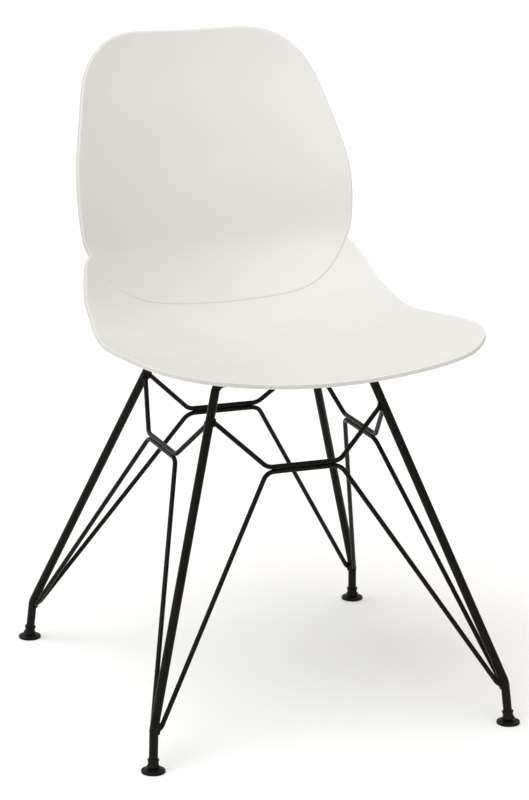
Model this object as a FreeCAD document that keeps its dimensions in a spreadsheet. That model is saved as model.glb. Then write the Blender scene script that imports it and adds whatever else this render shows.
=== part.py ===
import FreeCAD, Part
import math
import os
import Sketcher

# Moulded shell chair on a base of bent rods and welded brace wires.
# Millimetres, +Z up, the sitter faces -Y, the sitter's right is -X.
# The origin is the middle of the footprint, on the floor.

doc = FreeCAD.newDocument("ShellChair")
V = FreeCAD.Vector

# ---------------------------------------------------------------- dimensions
sheet = doc.addObject("Spreadsheet::Sheet", "Dims")
ROWS = [
    # base rods
    ("rod_diameter", 11.0), ("wire_diameter", 6.0),
    ("top_corner_x", 99.4), ("top_corner_y", 102.8), ("cross_run_z", 427.0),
    ("foot_bend_x", 229.0), ("foot_bend_y", 244.2), ("foot_bend_z", 52.0),
    ("top_bend_radius", 14.0), ("foot_bend_radius", 25.0),
    ("stub_lean_x", 3.4), ("stub_lean_y", 6.5), ("stub_drop", 48.5),
    # brace wires
    ("flat_level_z", 323.9), ("flat_pitch", 6.02),
    ("front_plane_y", 140.5), ("side_plane_x", 133.0),
    ("front_upper_half", 47.3), ("front_lower_half", 48.1),
    ("side_upper_half", 50.7), ("side_lower_half", 49.6),
    ("front_upper_aim_z", 387.6), ("side_upper_aim_z", 384.4),
    ("front_lower_aim_z", 34.6), ("side_lower_aim_z", 32.0),
    ("wire_bend_radius", 17.0),
    ("foot_turn_z", 52.6), ("foot_end_z", 44.6), ("foot_turn_radius", 8.0),
    # seat mounts
    ("mount_x", 66.0), ("mount_y", 80.0),
    ("tab_width", 30.0), ("tab_thickness", 3.0), ("tab_outer_y", 108.5),
    ("tab_inner_y", 65.0), ("tab_corner_radius", 6.0), ("tab_hole", 7.0),
    ("pad_outer", 22.0), ("pad_thickness", 2.5), ("pad_hole", 7.0),
    ("washer_outer", 14.0), ("washer_hole", 6.4), ("washer_thickness", 1.2),
    ("screw_diameter", 6.0), ("screw_length", 14.0), ("head_diameter", 11.0),
    ("head_height", 3.5), ("socket_width", 4.0), ("socket_depth", 2.2),
    ("insert_outer", 8.5), ("insert_length", 7.0), ("insert_groove", 0.35),
    # glides
    ("ball_z", 7.2), ("ball_radius", 4.6), ("ball_clearance", 0.3),
    ("skirt_drop", 0.8), ("skirt_radius", 8.1), ("skirt_top", 0.3),
    ("sleeve_radius", 6.45), ("collar_base", 7.0), ("collar_radius", 7.15),
    ("sleeve_floor", 5.9), ("sleeve_top", 9.3),
    ("disc_radius", 14.5), ("disc_edge", 3.2), ("disc_rise", 4.65), ("disc_neck_z", 5.5),
    # shell
    ("shell_wall", 5.5), ("lobe_step", 1.5), ("lobe_overlap", 12.0),
    ("boss_radius", 11.5), ("boss_hole_top", 7.6),
    # frame
    ("shift_y", -11.85),
]
for i, (name, value) in enumerate(ROWS, start=1):
    sheet.set("A%d" % i, name)
    sheet.set("B%d" % i, "%g" % value)
    sheet.setAlias("B%d" % i, name)
doc.recompute()


def dim(name):
    return float(sheet.get(name))


Y0 = dim("shift_y")
ROD = dim("rod_diameter") / 2.0
WIRE = dim("wire_diameter") / 2.0
nodes = []


def at(x, y, z):
    """A point of the design frame in the part frame."""
    return V(x, y + Y0, z)


def frame_rotation(ex, ey, ez):
    m = FreeCAD.Matrix(ex.x, ey.x, ez.x, 0, ex.y, ey.y, ez.y, 0,
                       ex.z, ey.z, ez.z, 0, 0, 0, 0, 1)
    return FreeCAD.Placement(m).Rotation


def plane(body, role):
    for f in body.Origin.OriginFeatures:
        if getattr(f, "Role", "") == role:
            return f
    raise RuntimeError("no " + role)


def sketch(body, role, name, offset=None):
    sk = body.newObject("Sketcher::SketchObject", name)
    sk.AttachmentSupport = [(plane(body, role), "")]
    sk.MapMode = "FlatFace"
    if offset is not None:
        sk.AttachmentOffset = offset
    return sk


def new_body(name, placement=None):
    b = doc.addObject("PartDesign::Body", name)
    b.Label = name
    if placement is not None:
        b.Placement = placement
    return b


def circle(sk, centre, radius, expr=None, name="r"):
    g = sk.addGeometry(Part.Circle(V(centre[0], centre[1], 0), V(0, 0, 1), radius), False)
    sk.addConstraint(Sketcher.Constraint("DistanceX", -1, 1, g, 3, centre[0]))
    sk.addConstraint(Sketcher.Constraint("DistanceY", -1, 1, g, 3, centre[1]))
    c = sk.addConstraint(Sketcher.Constraint("Radius", g, radius))
    sk.renameConstraint(c, name)
    if expr:
        sk.setExpression("Constraints." + name, expr)
    return g


def closed_profile(sk, pts):
    """pts: list of (x, y) or (x, y, 'arc', (cx, cy), ccw) meaning an arc to that point."""
    n = len(pts)
    ids = []
    for i in range(n):
        a = pts[i]
        b = pts[(i + 1) % n]
        pa = V(a[0], a[1], 0)
        pb = V(b[0], b[1], 0)
        if len(b) > 2:
            mx, my = b[3]
            ids.append(sk.addGeometry(Part.Arc(pa, V(mx, my, 0), pb), False))
        else:
            ids.append(sk.addGeometry(Part.LineSegment(pa, pb), False))
    return ids


# ------------------------------------------------------------------ leg rods
TOP = (dim("top_corner_x"), dim("top_corner_y"), dim("cross_run_z"))
FOOT = (dim("foot_bend_x"), dim("foot_bend_y"), dim("foot_bend_z"))
stub = V(dim("stub_lean_x"), dim("stub_lean_y"), -dim("stub_drop"))
stub.normalize()


def stub_dir(sx, sy):
    return V(stub.x * sx, stub.y * sy, stub.z)


def ball_centre(sx, sy):
    d = stub_dir(sx, sy)
    t = (FOOT[2] - dim("ball_z")) / -d.z
    return at(FOOT[0] * sx, FOOT[1] * sy, FOOT[2]) + d * t


def rod_end(sx, sy):
    return ball_centre(sx, sy) - stub_dir(sx, sy) * dim("sleeve_floor")


def rounded_path(points, radii):
    """Edges of a path through points, rounded at its inner corners."""
    edges = []
    here = points[0]
    for i in range(1, len(points) - 1):
        p = points[i]
        a = points[i - 1] - p
        b = points[i + 1] - p
        a.normalize()
        b.normalize()
        turn = math.pi - a.getAngle(b)
        t = radii[i - 1] * math.tan(turn / 2.0)
        p1 = p + a * t
        p2 = p + b * t
        bis = a + b
        bis.normalize()
        c = p + bis * (radii[i - 1] / math.cos(turn / 2.0))
        mid = c - bis * radii[i - 1]
        edges.append(Part.LineSegment(here, p1).toShape())
        edges.append(Part.Arc(p1, mid, p2).toShape())
        here = p2
    edges.append(Part.LineSegment(here, points[-1]).toShape())
    return edges


def leg_rod(name, sy):
    pts = [rod_end(-1, sy), at(-FOOT[0], sy * FOOT[1], FOOT[2]),
           at(-TOP[0], sy * TOP[1], TOP[2]), at(TOP[0], sy * TOP[1], TOP[2]),
           at(FOOT[0], sy * FOOT[1], FOOT[2]), rod_end(1, sy)]
    rf, rt = dim("foot_bend_radius"), dim("top_bend_radius")
    edges = rounded_path(pts, [rf, rt, rt, rf])
    spine = doc.addObject("Part::Feature", name + "_spine")
    spine.Shape = Part.Wire(edges)
    prof = doc.addObject("Part::Circle", name + "_profile")
    prof.setExpression("Radius", "Dims.rod_diameter / 2")
    z = pts[1] - pts[0]
    z.normalize()
    prof.Placement = FreeCAD.Placement(pts[0], FreeCAD.Rotation(V(0, 0, 1), z))
    sw = doc.addObject("Part::Sweep", name)
    sw.Sections = [prof]
    sw.Spine = (spine, ["Edge%d" % (k + 1) for k in range(len(edges))])
    sw.Solid = True
    sw.Frenet = False
    sw.Label = name
    nodes.append((name, sw))


leg_rod("front_leg_rod", -1)
leg_rod("rear_leg_rod", 1)


# --------------------------------------------------------------- brace wires
def rod_axis(sx, sy, z):
    """A point of a leg rod's axis at a height, design frame."""
    if z >= FOOT[2]:
        u = (TOP[2] - z) / (TOP[2] - FOOT[2])
        return V(sx * (TOP[0] + (FOOT[0] - TOP[0]) * u), sy * (TOP[1] + (FOOT[1] - TOP[1]) * u), z)
    d = stub_dir(sx, sy)
    t = (FOOT[2] - z) / -d.z
    return V(sx * FOOT[0], sy * FOOT[1], FOOT[2]) + d * t


def brace_wire(name, face, upper):
    """A bent wire: a flat in the middle, two straight arms coped onto the leg rods.

    The lower wires' ends are turned in to the rods. face is (along, sign): 'x' faces run along X at y = sign * front_plane_y.
    """
    axis, sign = face
    side = "front" if axis == "x" else "side"
    row = "upper" if upper else "lower"
    level = dim("flat_level_z") + (0.5 if upper else -0.5) * dim("flat_pitch")
    half = dim("%s_%s_half" % (side, row))
    aim_z = dim("%s_%s_aim_z" % (side, row))
    if axis == "x":
        flat = V(0, sign * dim("front_plane_y"), level)
        line = rod_axis(1, sign, aim_z)
        aim = line if upper else rod_axis(1, sign, dim("foot_end_z"))
        ex = V(1, 0, 0)
    else:
        flat = V(sign * dim("side_plane_x"), 0, level)
        line = rod_axis(sign, 1, aim_z)
        aim = line if upper else rod_axis(sign, 1, dim("foot_end_z"))
        ex = V(0, 1, 0)
    rise = aim - flat
    along = rise.dot(ex)
    ey = rise - ex * along
    drop = ey.Length
    ey.normalize()
    ez = ex.cross(ey)
    origin = V(flat.x, flat.y + Y0, flat.z)
    b = new_body(name + "_bent", FreeCAD.Placement(origin, frame_rotation(ex, ey, ez)))
    path = sketch(b, "XY_Plane", name + "_path")
    corners = [V(0, 0, 0), V(half, 0, 0)]
    radii = [dim("wire_bend_radius")]
    if not upper:
        zt = dim("foot_turn_z")
        corners.append(V(half + (line.dot(ex) - half) * (level - zt) / (level - aim_z),
                         drop * (level - zt) / (level - aim.z), 0))
        radii.append(dim("foot_turn_radius"))
    edges = rounded_path(corners + [V(along, drop, 0)], radii)
    ids = []
    for e in edges:
        c = e.Curve
        if isinstance(c, Part.Line):
            g = Part.LineSegment(e.Vertexes[0].Point, e.Vertexes[-1].Point)
        else:
            g = Part.Arc(e.valueAt(e.FirstParameter),
                         e.valueAt(0.5 * (e.FirstParameter + e.LastParameter)),
                         e.valueAt(e.LastParameter))
        ids.append(path.addGeometry(g, False))
    prof = sketch(b, "YZ_Plane", name + "_section")
    circle(prof, (0.0, 0.0), WIRE, "Dims.wire_diameter / 2")
    doc.recompute()
    pipe = b.newObject("PartDesign::AdditivePipe", name + "_pipe")
    pipe.Profile = prof
    pipe.Spine = (path, ["Edge%d" % (i + 1) for i in range(len(ids))])
    doc.recompute()
    mir = b.newObject("PartDesign::Mirrored", name + "_mirror")
    mir.Originals = [pipe]
    mir.MirrorPlane = (plane(b, "YZ_Plane"), [""])
    b.Tip = mir
    doc.recompute()
    # cope both ends onto the rods, and the side wires' feet onto their neighbours
    if axis == "x":
        tool = rods[sign]
    else:
        tool = doc.addObject("Part::Compound", name + "_cope")
        tool.Links = [rods[-1], rods[1]] + ([] if upper else lower_wires)
        doc.recompute()
    cut = doc.addObject("Part::Cut", name)
    cut.Base = b
    cut.Tool = tool
    cut.Label = name
    doc.recompute()
    if len(cut.Shape.Solids) != 1:
        raise RuntimeError("%s: %d solids" % (name, len(cut.Shape.Solids)))
    nodes.append((name, cut))
    if axis == "x" and not upper:
        lower_wires.append(cut)


lower_wires = []
rods = {-1: nodes[0][1], 1: nodes[1][1]}
for face_name, face in (("front", ("x", -1)), ("rear", ("x", 1)),
                        ("right", ("y", -1)), ("left", ("y", 1))):
    brace_wire(face_name + "_upper_wire", face, True)
    brace_wire(face_name + "_lower_wire", face, False)


# ---------------------------------------------------------------- seat mounts
TAB_Z = TOP[2] + ROD
PAD_Z = TAB_Z + dim("tab_thickness")
BOSS_Z = PAD_Z + dim("pad_thickness")
CORNERS = (("front_right", -1, -1), ("front_left", 1, -1),
           ("rear_right", -1, 1), ("rear_left", 1, 1))


def spot(sx, sy, z):
    return FreeCAD.Placement(at(sx * dim("mount_x"), sy * dim("mount_y"), z), FreeCAD.Rotation())


def ring(name, placement, outer, hole, height):
    b = new_body(name, placement)
    sk = sketch(b, "XY_Plane", name + "_outline")
    circle(sk, (0, 0), dim(outer) / 2.0, "Dims.%s / 2" % outer, "outer")
    circle(sk, (0, 0), dim(hole) / 2.0, "Dims.%s / 2" % hole, "hole")
    pad = b.newObject("PartDesign::Pad", name + "_pad")
    pad.Profile = sk
    pad.setExpression("Length", "Dims." + height)
    b.Tip = pad
    return b


def mount_tab(name, sx, sy):
    b = new_body(name, spot(sx, sy, TAB_Z))
    sk = sketch(b, "XY_Plane", name + "_outline")
    w = dim("tab_width") / 2.0
    r = dim("tab_corner_radius")
    ya = sy * (dim("tab_outer_y") - dim("mount_y"))
    yb = sy * (dim("tab_inner_y") - dim("mount_y"))
    lo, hi = min(ya, yb), max(ya, yb)
    q = r * (1 - math.sqrt(0.5))
    # the corners of the inner end are rounded wide, those of the welded end small
    rl, rh = (2.0, r) if sy < 0 else (r, 2.0)
    ql, qh = rl * (1 - math.sqrt(0.5)), rh * (1 - math.sqrt(0.5))
    pts = [(-w + rl, lo), (w - rl, lo), (w, lo + rl, "arc", (w - ql, lo + ql)),
           (w, hi - rh), (w - rh, hi, "arc", (w - qh, hi - qh)),
           (-w + rh, hi), (-w, hi - rh, "arc", (-w + qh, hi - qh)),
           (-w, lo + rl), (-w + rl, lo, "arc", (-w + ql, lo + ql))]
    # the last arc returns to the first point
    n = len(pts) - 1
    for i in range(n):
        a, c = pts[i], pts[i + 1]
        pa, pc = V(a[0], a[1], 0), V(c[0], c[1], 0)
        if len(c) > 2:
            sk.addGeometry(Part.Arc(pa, V(c[3][0], c[3][1], 0), pc), False)
        else:
            sk.addGeometry(Part.LineSegment(pa, pc), False)
    circle(sk, (0, 0), dim("tab_hole") / 2.0, "Dims.tab_hole / 2", "hole")
    pad = b.newObject("PartDesign::Pad", name + "_pad")
    pad.Profile = sk
    pad.setExpression("Length", "Dims.tab_thickness")
    b.Tip = pad
    nodes.append((name, b))


def insert(name, placement):
    b = new_body(name, placement)
    sk = sketch(b, "XZ_Plane", name + "_section")
    ri, ro, ln, g = (dim("screw_diameter") / 2.0, dim("insert_outer") / 2.0,
                     dim("insert_length"), dim("insert_groove"))
    closed_profile(sk, [(ri, 0), (ro, 0), (ro, ln * 0.4), (ro - g, ln * 0.4), (ro - g, ln * 0.55),
                        (ro, ln * 0.55), (ro, ln), (ri, ln)])
    rev = b.newObject("PartDesign::Revolution", name + "_turn")
    rev.Profile = sk
    rev.ReferenceAxis = (sk, ["V_Axis"])
    rev.Angle = 360
    b.Tip = rev
    return b


def screw(name, placement):
    b = new_body(name, placement)
    sk = sketch(b, "XZ_Plane", name + "_section")
    rs, rh, hh, ln = (dim("screw_diameter") / 2.0, dim("head_diameter") / 2.0,
                      dim("head_height"), dim("screw_length"))
    closed_profile(sk, [(0, -hh), (rh - 1.6, -hh),
                        (rh, -hh + 2.1, "arc", (rh - 0.46, -hh + 0.72)),
                        (rh, 0), (rs, 0), (rs, ln - 0.8), (rs - 0.8, ln), (0, ln)])
    rev = b.newObject("PartDesign::Revolution", name + "_turn")
    rev.Profile = sk
    rev.ReferenceAxis = (sk, ["V_Axis"])
    rev.Angle = 360
    doc.recompute()
    full = rev.Shape.Volume
    hx = sketch(b, "XY_Plane", name + "_socket_outline",
                FreeCAD.Placement(V(0, 0, -hh), FreeCAD.Rotation()))
    r = dim("socket_width") / math.sqrt(3.0)
    corner = [V(r * math.cos(math.radians(60 * k)), r * math.sin(math.radians(60 * k)), 0)
              for k in range(6)]
    for k in range(6):
        hx.addGeometry(Part.LineSegment(corner[k], corner[(k + 1) % 6]), False)
    pk = b.newObject("PartDesign::Pocket", name + "_socket")
    pk.Profile = hx
    pk.setExpression("Length", "Dims.socket_depth")
    pk.Reversed = True
    b.Tip = pk
    doc.recompute()
    want = 6 * 0.5 * r * r * math.sin(math.radians(60)) * dim("socket_depth")
    if abs((full - pk.Shape.Volume) - want) > 0.1 * want:
        pk.Reversed = False
        doc.recompute()
    if abs((full - pk.Shape.Volume) - want) > 0.1 * want:
        raise RuntimeError("socket not cut")
    return b


def group(name, members):
    c = doc.addObject("Part::Compound", name)
    c.Links = members
    c.Label = name
    nodes.append((name, c))


for corner_name, sx, sy in CORNERS:
    mount_tab(corner_name + "_mount_tab", sx, sy)
for corner_name, sx, sy in CORNERS:
    nodes.append((corner_name + "_pad",
                  ring(corner_name + "_pad", spot(sx, sy, PAD_Z), "pad_outer", "pad_hole",
                       "pad_thickness")))
WASHER_Z = TAB_Z - dim("washer_thickness")
group("mount_washers", [ring("washer_" + c, spot(sx, sy, WASHER_Z), "washer_outer", "washer_hole",
                             "washer_thickness") for c, sx, sy in CORNERS])
group("mount_screws", [screw("screw_" + c, spot(sx, sy, WASHER_Z)) for c, sx, sy in CORNERS])
group("thread_inserts", [insert("insert_" + c, spot(sx, sy, BOSS_Z)) for c, sx, sy in CORNERS])


# -------------------------------------------------------------------- glides
def glide_sleeve(name, sx, sy):
    """Ferrule on the rod's end with the socket for the foot disc's ball."""
    up = stub_dir(sx, sy) * -1.0
    b = new_body(name, FreeCAD.Placement(ball_centre(sx, sy), FreeCAD.Rotation(V(0, 0, 1), up)))
    sk = sketch(b, "XZ_Plane", name + "_section")
    rs = dim("ball_radius") + dim("ball_clearance")
    zd = -dim("skirt_drop")
    rm = math.sqrt(rs * rs - zd * zd)
    k, kt, w = dim("skirt_radius"), dim("skirt_top"), dim("sleeve_radius")
    cb, cr = dim("collar_base"), dim("collar_radius")
    zf, zt = dim("sleeve_floor"), dim("sleeve_top")
    q = math.sqrt(0.5)
    closed_profile(sk, [(0, rs), (rm, zd, "arc", (rs * q, rs * q)), (k - 0.4, zd),
                        (k, zd + 0.4, "arc", (k - 0.4 + 0.4 * q, zd + 0.4 - 0.4 * q)),
                        (k, kt), (w, kt + 3.6, "arc", (w + 0.29 * (k - w), kt + 1.6)),
                        (w, cb - 0.4), (cr, cb + 0.2),
                        (cr, zt - 0.6), (cr - 0.6, zt, "arc", (cr - 0.6 + 0.6 * q, zt - 0.6 + 0.6 * q)),
                        (ROD, zt), (ROD, zf), (0, zf)])
    rev = b.newObject("PartDesign::Revolution", name + "_turn")
    rev.Profile = sk
    rev.ReferenceAxis = (sk, ["V_Axis"])
    rev.Angle = 360
    b.Tip = rev
    nodes.append((name, b))


def glide_disc(name, sx, sy):
    """Foot disc with the ball it tilts on."""
    c = ball_centre(sx, sy)
    b = new_body(name, FreeCAD.Placement(V(c.x, c.y, 0), FreeCAD.Rotation()))
    sk = sketch(b, "XZ_Plane", name + "_section")
    rb, zc = dim("ball_radius"), dim("ball_z")
    R, e, h, zn = dim("disc_radius"), dim("disc_edge"), dim("disc_rise"), dim("disc_neck_z")
    rn = math.sqrt(rb * rb - (zc - zn) ** 2)
    closed_profile(sk, [(0, 0), (R - 1.0, 0), (R, 1.0, "arc", (R - 0.293, 0.293)),
                        (R, e - 0.8), (R - 0.8, e, "arc", (R - 0.234, e - 0.234)),
                        (rn + 2.6, h, "arc", (0.5 * (R + rn), 0.5 * (e + h) - 0.12)),
                        (rn, zn, "arc", (rn + 0.95, h + 0.26)),
                        (0, zc + rb, "arc", (rb, zc))])
    rev = b.newObject("PartDesign::Revolution", name + "_turn")
    rev.Profile = sk
    rev.ReferenceAxis = (sk, ["V_Axis"])
    rev.Angle = 360
    b.Tip = rev
    nodes.append((name, b))


for corner_name, sx, sy in CORNERS:
    glide_sleeve("glide_sleeve_" + corner_name, sx, sy)
for corner_name, sx, sy in CORNERS:
    glide_disc("glide_disc_" + corner_name, sx, sy)

# --------------------------------------------------------------------- shell
# Side view of the shell's middle surface (y, z), and how much it is dished:
# a point x to the side lies dish * x * x towards the sitter.
SIDE = [(-239.6, 451.3), (-204.8, 450.5), (-159.9, 451.6), (-110.0, 448.0), (-60.1, 444.4),
        (-10.0, 442.2), (40.0, 438.2), (85.7, 440.9), (123.0, 448.5), (154.2, 467.1),
        (180.6, 493.8), (199.7, 525.0), (208.6, 560.8), (217.6, 601.2), (231.6, 642.9),
        (248.8, 692.4), (267.4, 736.0), (286.7, 793.7)]
DISH = [6.26e-4, 5.48e-4, 5.6e-4, 5.93e-4, 10.61e-4, 13.86e-4, 13.98e-4, 14.0e-4, 13.01e-4,
        13.98e-4]
# half outlines as control points (distance along the side curve, x)
SEAT = [(0.4, 0.0), (0.4, 99.9), (2.2, 155.0), (11.0, 182.4), (35.0, 205.9), (74.2, 230.2),
        (131.1, 234.2), (193.4, 227.4), (250.2, 212.9), (304.6, 204.9), (360.1, 197.8),
        (414.6, 193.2), (454.9, 180.3)]
BACK = [(390.0, 0.0), (390.0, 71.6), (377.9, 123.2), (440.3, 175.3), (495.0, 184.4),
        (544.0, 189.5), (598.0, 182.4), (655.1, 167.7), (706.8, 155.3), (741.3, 129.9),
        (761.3, 89.3), (758.7, 47.0), (758.7, 0.0)]


def natural_spline(t, f):
    """Second derivatives of the natural cubic spline through (t, f)."""
    n = len(t)
    h = [t[i + 1] - t[i] for i in range(n - 1)]
    a = [0.0] * n
    b = [1.0] * n
    c = [0.0] * n
    d = [0.0] * n
    for i in range(1, n - 1):
        a[i] = h[i - 1]
        b[i] = 2.0 * (h[i - 1] + h[i])
        c[i] = h[i]
        d[i] = 6.0 * ((f[i + 1] - f[i]) / h[i] - (f[i] - f[i - 1]) / h[i - 1])
    for i in range(1, n):
        w = a[i] / b[i - 1]
        b[i] -= w * c[i - 1]
        d[i] -= w * d[i - 1]
    m = [0.0] * n
    m[-1] = d[-1] / b[-1]
    for i in range(n - 2, -1, -1):
        m[i] = (d[i] - c[i] * m[i + 1]) / b[i]
    return m


def spline_eval(t, f, m, s):
    n = len(t)
    s0 = min(max(s, t[0]), t[-1])
    i = 0
    while i < n - 2 and s0 > t[i + 1]:
        i += 1
    h = t[i + 1] - t[i]
    A = (t[i + 1] - s0) / h
    B = (s0 - t[i]) / h
    v = A * f[i] + B * f[i + 1] + ((A ** 3 - A) * m[i] + (B ** 3 - B) * m[i + 1]) * h * h / 6.0
    d = (f[i + 1] - f[i]) / h + (-(3 * A * A - 1) * m[i] + (3 * B * B - 1) * m[i + 1]) * h / 6.0
    return v + d * (s - s0), d


T = [0.0]
for i in range(1, len(SIDE)):
    T.append(T[-1] + math.hypot(SIDE[i][0] - SIDE[i - 1][0], SIDE[i][1] - SIDE[i - 1][1]))
SY = [p[0] for p in SIDE]
SZ = [p[1] for p in SIDE]
MY, MZ = natural_spline(T, SY), natural_spline(T, SZ)
KT = [T[-1] * i / (len(DISH) - 1.0) for i in range(len(DISH))]
MK = natural_spline(KT, DISH)


def mid(s, x):
    y, dy = spline_eval(T, SY, MY, s)
    z, dz = spline_eval(T, SZ, MZ, s)
    ln = math.hypot(dy, dz)
    ny, nz = -dz / ln, dy / ln
    k = spline_eval(KT, DISH, MK, min(max(s, 0.0), T[-1]))[0]
    return V(x, y + ny * k * x * x, z + nz * k * x * x)


def surf(s, x, off):
    """Point of the sheet at a distance off from the middle surface, + towards the sitter."""
    p = mid(s, x)
    ds = mid(s + 0.5, x) - mid(s - 0.5, x)
    dx = mid(s, x + 0.5) - mid(s, x - 0.5)
    n = dx.cross(ds)
    n.normalize()
    q = p + n * off
    return V(q.x, q.y + Y0, q.z)


def outline(ctrl, count):
    """Clamped uniform cubic B-spline through its control points, as (s, x)."""
    n = len(ctrl)
    kn = [0.0] * 3 + [i / float(n - 3) for i in range(n - 2)] + [1.0] * 3
    out = []
    for j in range(count):
        u = j / float(count - 1)
        i = 3
        while i < n - 1 and u > kn[i + 1]:
            i += 1
        d = [list(ctrl[i - 3 + r]) for r in range(4)]
        for k in range(1, 4):
            for r in range(3, k - 1, -1):
                lo = kn[i - 3 + r]
                hi = kn[i + 1 + r - k]
                a = 0.0 if hi == lo else (u - lo) / (hi - lo)
                d[r] = [(1 - a) * d[r - 1][q] + a * d[r][q] for q in (0, 1)]
        out.append((d[3][0], d[3][1]))
    return out


def half_width(pts, s, extra):
    """Half width of an outline at s, going to its widest nearby, plus a margin."""
    best = 0.0
    for ps, px in pts:
        if abs(ps - s) < 45.0:
            best = max(best, px)
    return best + extra


def slab(s0, s1, ns, nu, pts, lo, hi, extra=14.0):
    """A closed solid between two parallel sheets of the shell's surface."""
    rows = [s0 + (s1 - s0) * i / (ns - 1.0) for i in range(ns)]
    width = [half_width(pts, min(max(s, pts[0][0]), max(p[0] for p in pts)), extra) for s in rows]
    # smooth the widths so the sheet's sides are fair curves
    for _ in range(12):
        width = [width[0]] + [max(width[i], 0.25 * width[i - 1] + 0.5 * width[i] + 0.25 * width[i + 1])
                              for i in range(1, ns - 1)] + [width[-1]]
    grids = []
    for off in (lo, hi):
        g = [[surf(s, w * (2.0 * j / (nu - 1.0) - 1.0), off) for j in range(nu)]
             for s, w in zip(rows, width)]
        bs = Part.BSplineSurface()
        bs.interpolate(g)
        grids.append(bs)
    faces = []
    low, high = grids[0].toShape(), grids[1].toShape()
    faces += [low, high]
    for get in (lambda b: b.uIso(b.bounds()[0]), lambda b: b.uIso(b.bounds()[1]),
                lambda b: b.vIso(b.bounds()[2]), lambda b: b.vIso(b.bounds()[3])):
        faces.append(Part.makeRuledSurface(get(grids[0]).toShape(), get(grids[1]).toShape()))
    sh = Part.makeShell(faces)
    sh.sewShape()
    solid = Part.makeSolid(Part.Shell(sh.Faces) if sh.ShapeType != "Shell" else sh)
    if solid.Volume < 0:
        solid.reverse()
    return solid


WALL = dim("shell_wall")
STEP = dim("lobe_step")
seat_half = outline(SEAT, 61)
back_half = outline(BACK, 81)

seat_pts = [mid(s, x) for s, x in seat_half]
plan = [V(-p.x, p.y + Y0, 0) for p in seat_pts[:0:-1]] + [V(p.x, p.y + Y0, 0) for p in seat_pts]
plan_curve = Part.BSplineCurve()
plan_curve.interpolate(plan[::3] if (len(plan) - 1) % 3 == 0 else plan[::2])
plan_wire = Part.Wire([plan_curve.toShape(), Part.LineSegment(plan[-1], plan[0]).toShape()])
plan_prism = Part.Face(plan_wire).extrude(V(0, 0, 300))
plan_prism.translate(V(0, 0, 380))

back_pts = [mid(s, x) for s, x in back_half]
front_xz = [V(p.x, 0, p.z) for p in back_pts[:-1]] + [V(-p.x, 0, p.z) for p in back_pts[:0:-1]]


def inward(pts, d):
    n = len(pts)
    out = []
    for i in range(n):
        t = pts[(i + 1) % n] - pts[i - 1]
        t.normalize()
        # the outline runs anticlockwise seen from -Y: its inside is on the left
        out.append(pts[i] + V(-t.z, 0, t.x) * d)
    return out


def prism_y(pts, y0, y1):
    c = Part.BSplineCurve()
    c.interpolate(pts, PeriodicFlag=True)
    f = Part.Face(Part.Wire([c.toShape()]))
    p = f.extrude(V(0, y1 - y0, 0))
    p.translate(V(0, y0, 0))
    return p


outer_prism = prism_y(front_xz[::2], 60 + Y0, 360 + Y0)
inner_prism = prism_y(inward(front_xz, dim("lobe_overlap"))[::2], 100 + Y0, 360 + Y0)

seat_slab = slab(-16.0, 474.0, 50, 31, seat_half, -WALL / 2.0, WALL / 2.0)
back_slab = slab(372.0, 772.0, 42, 27, back_half, -WALL / 2.0 + STEP, WALL / 2.0 + STEP)
deep_slab = slab(30.0, 420.0, 34, 25, seat_half, -40.0, 0.0, extra=-60.0)

seat_lobe = seat_slab.common(plan_prism).cut(inner_prism)
back_lobe = back_slab.common(outer_prism)
shell = seat_lobe.fuse(back_lobe)
for corner_name, sx, sy in CORNERS:
    c = at(sx * dim("mount_x"), sy * dim("mount_y"), BOSS_Z)
    post = Part.makeCylinder(dim("boss_radius"), 24.0, c)
    shell = shell.fuse(post.common(deep_slab))
for corner_name, sx, sy in CORNERS:
    c = at(sx * dim("mount_x"), sy * dim("mount_y"), BOSS_Z - 1.0)
    shell = shell.cut(Part.makeCylinder(dim("insert_outer") / 2.0, dim("boss_hole_top") + 1.0, c))
shell = shell.removeSplitter()
if shell.ShapeType != "Solid":
    solids = sorted(shell.Solids, key=lambda q: -q.Volume)
    if len(solids) != 1:
        raise RuntimeError("the shell came out in %d solids" % len(solids))
    shell = solids[0]
seat_shell = doc.addObject("Part::Feature", "seat_shell")
seat_shell.Shape = shell
seat_shell.Label = "seat_shell"
nodes.insert(0, ("seat_shell", seat_shell))

# ------------------------------------------------------------ checks, export
doc.recompute()
for o in doc.Objects:
    if any(s in ("Invalid", "Error") for s in o.State):
        raise RuntimeError("%s is %s" % (o.Name, o.State))
whole = FreeCAD.BoundBox()
for name, o in nodes:
    if o.Shape.isNull() or not o.Shape.isValid():
        raise RuntimeError(name + " has a bad shape")
    if o.Label != name:
        raise RuntimeError("label " + o.Label)
    whole.add(o.Shape.BoundBox)
os.makedirs("parts", exist_ok=True)
for name, o in nodes:
    o.Shape.exportStep("parts/%s.step" % name)
    print("%-28s solids %d volume %.1f" % (name, len(o.Shape.Solids), o.Shape.Volume))
print("box", [round(v, 3) for v in (whole.XMin, whole.XMax, whole.YMin, whole.YMax, whole.ZMin,
                                    whole.ZMax)])
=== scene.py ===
import math

import bpy
import numpy as np
from mathutils import Matrix, Vector
from mathutils.geometry import delaunay_2d_cdt


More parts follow.
